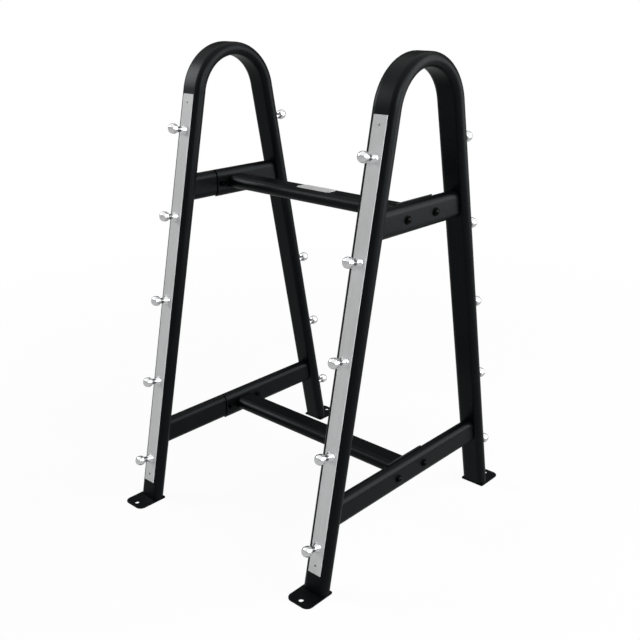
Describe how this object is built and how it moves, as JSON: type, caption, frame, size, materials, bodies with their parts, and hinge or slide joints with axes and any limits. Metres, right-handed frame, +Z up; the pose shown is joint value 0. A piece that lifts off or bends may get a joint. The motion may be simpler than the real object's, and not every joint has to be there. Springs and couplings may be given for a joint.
{
  "type": "barbell storage rack",
  "caption": "Free-standing rack of hooped, leaning tube frames joined by crossbars, with rows of chrome knobbed pins on pale strips that hold barbells front and back.",
  "frame": {"origin": "on the floor, midway between the four feet: the middle of the bottom of the whole rack", "axes": "+Z up, +X from the left side frame to the right one, along the crossbars and along a stored bar, +Y from the front row of pins to the rear row"},
  "size_m": [0.804, 0.9504, 1.3975],
  "materials": {
    "powder_coat": "satin near-black powder coat on steel",
    "wear_strip": "pale grey, fine matte",
    "chrome": "bright mirror chrome plate",
    "black_fastener": "glossy black coated steel",
    "nameplate": "satin silver, bare"
  },
  "bodies": {
    "root": {"hoop_frame_left": "powder_coat", "hoop_frame_right": "powder_coat", "rail_upper_left": "powder_coat", "rail_upper_right": "powder_coat", "rail_lower_left": "powder_coat", "rail_lower_right": "powder_coat", "crossbar_upper": "powder_coat", "crossbar_lower": "powder_coat", "bracket_upper_left": "powder_coat", "bracket_upper_right": "powder_coat", "bracket_lower_left": "powder_coat", "bracket_lower_right": "powder_coat", "foot_plate_left_front": "powder_coat", "foot_plate_left_rear": "powder_coat", "foot_plate_right_front": "powder_coat", "foot_plate_right_rear": "powder_coat", "strip_left_front": "wear_strip", "strip_left_rear": "wear_strip", "strip_right_front": "wear_strip", "strip_right_rear": "wear_strip", "pin_left_front_1": "chrome", "pin_left_front_2": "chrome", "pin_left_front_3": "chrome", "pin_left_front_4": "chrome", "pin_left_front_5": "chrome", "pin_left_rear_1": "chrome", "pin_left_rear_2": "chrome", "pin_left_rear_3": "chrome", "pin_left_rear_4": "chrome", "pin_left_rear_5": "chrome", "pin_right_front_1": "chrome", "pin_right_front_2": "chrome", "pin_right_front_3": "chrome", "pin_right_front_4": "chrome", "pin_right_front_5": "chrome", "pin_right_rear_1": "chrome", "pin_right_rear_2": "chrome", "pin_right_rear_3": "chrome", "pin_right_rear_4": "chrome", "pin_right_rear_5": "chrome", "bolt_upper_left_front": "black_fastener", "bolt_upper_left_rear": "black_fastener", "bolt_upper_right_front": "black_fastener", "bolt_upper_right_rear": "black_fastener", "bolt_lower_left_front": "black_fastener", "bolt_lower_left_rear": "black_fastener", "bolt_lower_right_front": "black_fastener", "bolt_lower_right_rear": "black_fastener", "nut_upper_left_front": "black_fastener", "nut_upper_left_rear": "black_fastener", "nut_upper_right_front": "black_fastener", "nut_upper_right_rear": "black_fastener", "nut_lower_left_front": "black_fastener", "nut_lower_left_rear": "black_fastener", "nut_lower_right_front": "black_fastener", "nut_lower_right_rear": "black_fastener", "nameplate": "nameplate"}
  },
  "joints": []
}
